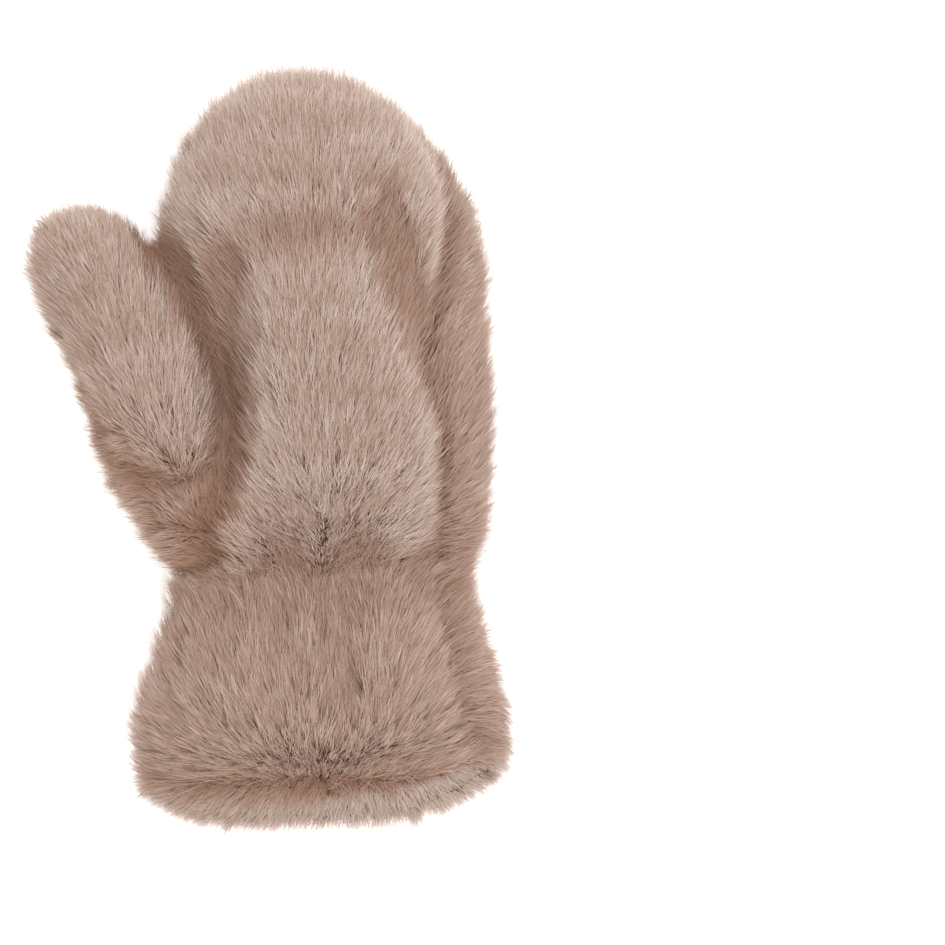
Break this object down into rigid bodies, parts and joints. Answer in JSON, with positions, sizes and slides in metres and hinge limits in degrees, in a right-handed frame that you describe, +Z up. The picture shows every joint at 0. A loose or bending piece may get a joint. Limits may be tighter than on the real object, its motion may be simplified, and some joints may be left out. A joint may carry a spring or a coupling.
{
  "type": "fur mitten",
  "caption": "Deep-pile fur mitten with a thumb set into its side, a drawn-in wrist and a flared cuff with a turned hem; hollow and open at the cuff for the hand.",
  "frame": {"origin": "centre of the outline as seen from above, on the surface it lies on", "axes": "+Z up out of the palm, +Y towards the fingertips, -X towards the thumb"},
  "size_m": [0.1734, 0.2696, 0.0667],
  "materials": {
    "palm_fur": "deep soft pile",
    "back_fur": "deep soft pile",
    "thumb_front_fur": "deep soft pile",
    "thumb_back_fur": "deep soft pile",
    "cuff_front_fur": "deep soft pile",
    "cuff_back_fur": "deep soft pile",
    "hem_fur": "deep soft pile"
  },
  "bodies": {
    "root": {"palm_panel": "palm_fur", "back_panel": "back_fur", "thumb_front": "thumb_front_fur", "thumb_back": "thumb_back_fur", "cuff_front": "cuff_front_fur", "cuff_back": "cuff_back_fur", "hem_band": "hem_fur"}
  },
  "joints": []
}
